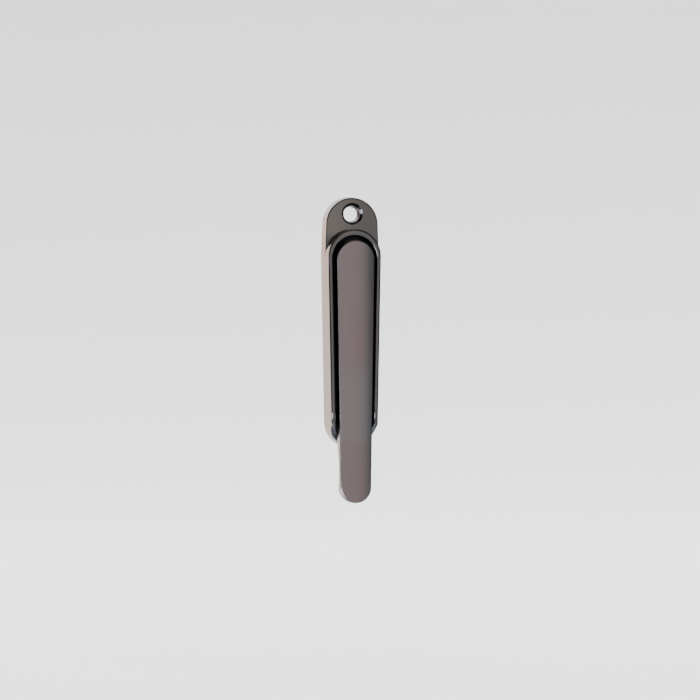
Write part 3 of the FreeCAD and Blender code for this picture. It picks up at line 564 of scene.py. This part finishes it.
# Each row holds a place, its share, its tint and, where the polish differs too, its roughness.
ZONES = (
    # Painted light on the plate's left: a paler tint.
    ("painted light on plate", painted_plate_light.outputs[0], "#7b7875", None),
    # Painted shade: the screw hole is tinted darker than the plate round it.
    ("screw hole", share["screw hole"], "#4b4a4c", None),
    # Painted shade on the rim's outer rounding.
    ("painted rim shade", painted_rim_shade.outputs[0], "#2c2c2e", None),
    # Painted shade: the channel's nearly black tint; its higher roughness is the dull cast floor.
    ("channel", unpolished_and_shaded, "#34363a", 0.50),
    # Painted light: the scooped end's paler, bluer tint; its higher roughness is the brushing.
    ("brushed scoop with painted light", brushed.outputs[0], "#7c7e83", 0.38),
    ("back as cast", share["back"], "#66676a", 0.48),
)
for zone, here, zone_tint, zone_blur in ZONES:
    tint = add(tree, "ShaderNodeMix", {0: here, 6: tint, 7: colour(zone_tint)}, data_type="RGBA").outputs[2]
    if zone_blur:
        blur = add(tree, "ShaderNodeMix", {0: here, 2: blur, 3: zone_blur}, data_type="FLOAT").outputs[0]
print("zones:", ", ".join(zone for zone, *_ in ZONES))

# %% [markdown]
# The relief comes last. The cast places get a grain of about a quarter of a millimetre.
# The wheel has also eased the rim's two ends, so that they start to fall before the scooped end does.
# That fall is too slight to change the outline, so only the direction of the surface leans over:
# more and more along five millimetres, like a slope that steepens along an arc.

# %% Housing finish: grain and the eased ends of the rim
CAST_GRAIN = 0.25 * MM
GRAIN_HEIGHT = 0.01 * MM
DIP_BEGINS = -64.6 * MM
DIP_LENGTH = 5.0 * MM
DIP_RADIUS = 9.5 * MM
DIP_FOOT = -8.8 * MM

grain = add(tree, "ShaderNodeTexNoise", {"Vector": place, "Scale": 1 / CAST_GRAIN, "Detail": 2.0})
cast = add(tree, "ShaderNodeMath", {0: unpolished_and_shaded, 1: share["back"]}, operation="MAXIMUM")
grain_height = add(tree, "ShaderNodeMath", {0: grain.outputs[0], 1: cast.outputs[0]}, operation="MULTIPLY")
cast_relief = add(tree, "ShaderNodeBump", {
    "Height": grain_height.outputs[0], "Strength": 1.0, "Distance": GRAIN_HEIGHT, "Normal": relief,
})

below_start = add(tree, "ShaderNodeMath", {0: DIP_BEGINS, 1: height}, operation="SUBTRACT")
into_dip = add(tree, "ShaderNodeMath", {0: below_start.outputs[0], 1: 0.0}, operation="MAXIMUM").outputs[0]
slope = add(tree, "ShaderNodeMath", {0: into_dip, 1: -DIP_RADIUS}, operation="DIVIDE")
on_rim = add(tree, "ShaderNodeMath", {0: depth, 1: DIP_FOOT}, operation="LESS_THAN")
before_end = add(tree, "ShaderNodeMath", {0: into_dip, 1: DIP_LENGTH}, operation="LESS_THAN")
on_end = add(tree, "ShaderNodeMath", {0: on_rim.outputs[0], 1: before_end.outputs[0]}, operation="MULTIPLY")
dip_share = add(tree, "ShaderNodeMath", {0: on_end.outputs[0], 1: share["front"]}, operation="MULTIPLY")
lean = add(tree, "ShaderNodeMath", {0: slope.outputs[0], 1: dip_share.outputs[0]}, operation="MULTIPLY")
downwards = add(tree, "ShaderNodeCombineXYZ", {"Z": lean.outputs[0]})
leaning = add(tree, "ShaderNodeVectorMath", {
    0: cast_relief.outputs[0], 1: downwards.outputs[0],
}, operation="ADD")
whole_relief = add(tree, "ShaderNodeVectorMath", {0: leaning.outputs[0]}, operation="NORMALIZE")
metal = add(tree, "ShaderNodeBsdfPrincipled", {
    "Base Color": tint, "Metallic": 1.0, "Roughness": blur, "Normal": whole_relief.outputs[0],
})
tree.links.new(metal.outputs[0], output.inputs["Surface"])
print("finish:", housing_finish.name)

# %% [markdown]
# The parts behind the lever are steel, drawn, turned or stamped, with nylon between them.
# Steel is brighter than the plating, and its making marks it: rings from the lathe, lines from drawing.
# The hub shows through the gap round the lever's head, so it is blackened, and its near-black tint is
# painted shade that keeps the gap dark.
# Nylon is no metal, so it scatters light inside itself and has only a thin dull gloss.

# %% Steel and nylon
BRIGHT_STEEL = "#b9b6b0"
TOOL_LINE_HEIGHT = 0.002 * MM
LATHE_RINGS = (8 * MM, 0.15 * MM, 8 * MM)
DRAWN_LINES = (0.2 * MM, 12 * MM, 0.2 * MM)
MILL_HAZE = (0.3 * MM, 0.3 * MM, 0.3 * MM)
STEEL_SMOOTHER, STEEL_ROUGHER = 0.8, 1.25


def steel(name, tint, roughness, spacing, line_height=TOOL_LINE_HEIGHT):
    """Steel with fine tool lines: noise stretched to the lines' spacing along x, y and z."""
    material, tree, output = new_material(name)
    place = add(tree, "ShaderNodeTexCoord").outputs["Object"]
    stretched = add(tree, "ShaderNodeMapping", {"Vector": place, "Scale": [1 / step for step in spacing]})
    lines = add(tree, "ShaderNodeTexNoise", {"Vector": stretched.outputs[0], "Scale": 1.0, "Detail": 2.0})
    blur = add(tree, "ShaderNodeMapRange", {
        "Value": lines.outputs[0], "From Min": LINES_LOW, "From Max": LINES_HIGH,
        "To Min": roughness * STEEL_SMOOTHER, "To Max": roughness * STEEL_ROUGHER,
    })
    relief = add(tree, "ShaderNodeBump", {
        "Height": lines.outputs[0], "Strength": 1.0, "Distance": line_height,
    })
    metal = add(tree, "ShaderNodeBsdfPrincipled", {
        "Base Color": colour(tint), "Metallic": 1.0,
        "Roughness": blur.outputs[0], "Normal": relief.outputs[0],
    })
    tree.links.new(metal.outputs[0], output.inputs["Surface"])
    return material


# Cold drawn bar: the die leaves straight lines along it, which pull its highlights out sideways.
drawn_steel = steel("drawn_steel", BRIGHT_STEEL, 0.30, DRAWN_LINES)
# Turned pin and stamped washer: fine rings round the part, and a satin shine between them.
turned_steel = steel("turned_steel", BRIGHT_STEEL, 0.28, LATHE_RINGS)
# Turned and blackened in hot oxide, with the lathe's rings still in it; its near-black tint is also painted
# shade for the gap round the lever's head.
blackened_steel_and_gap_shade = steel("blackened_steel_and_gap_shade", "#3a3a3d", 0.38, LATHE_RINGS)
# Hardened spring steel as it comes from the mill: smooth, with an even haze.
spring_steel = steel("spring_steel", "#a9a6a2", 0.34, MILL_HAZE, line_height=0.001 * MM)

# Moulded nylon, left in its natural cream: light goes a little way in, so its edges look soft.
nylon, tree, output = new_material("moulded_nylon")
plastic = add(tree, "ShaderNodeBsdfPrincipled", {
    "Base Color": colour("#e6e1d3"), "Roughness": 0.45, "IOR": 1.53, "Subsurface Weight": 0.15,
    "Subsurface Radius": (1.2 * MM, 1.1 * MM, 0.9 * MM), "Subsurface Scale": 1.0,
})
tree.links.new(plastic.outputs[0], output.inputs["Surface"])
inner_finishes = (drawn_steel, turned_steel, blackened_steel_and_gap_shade, spring_steel, nylon)
print("inner finishes:", ", ".join(finish.name for finish in inner_finishes))

# %% [markdown]
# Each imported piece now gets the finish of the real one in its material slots.
# The meshes stay as they were packed, so nothing is scaled or moved here.

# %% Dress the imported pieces
FINISHES = {
    "housing": housing_finish,
    "lever": lever_finish,
    "hub": blackened_steel_and_gap_shade,
    "spindle": drawn_steel,
    "lift_pin": turned_steel,
    "lift_spring": spring_steel,
    "bearing_bush": nylon,
    "thrust_washer": turned_steel,
    "wave_washer": spring_steel,
    "retaining_ring": spring_steel,
}
for name, finish in FINISHES.items():
    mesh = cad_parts[name].data
    mesh.materials.clear()
    mesh.materials.append(finish)
print("dressed:", len(FINISHES), "of", len(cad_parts))
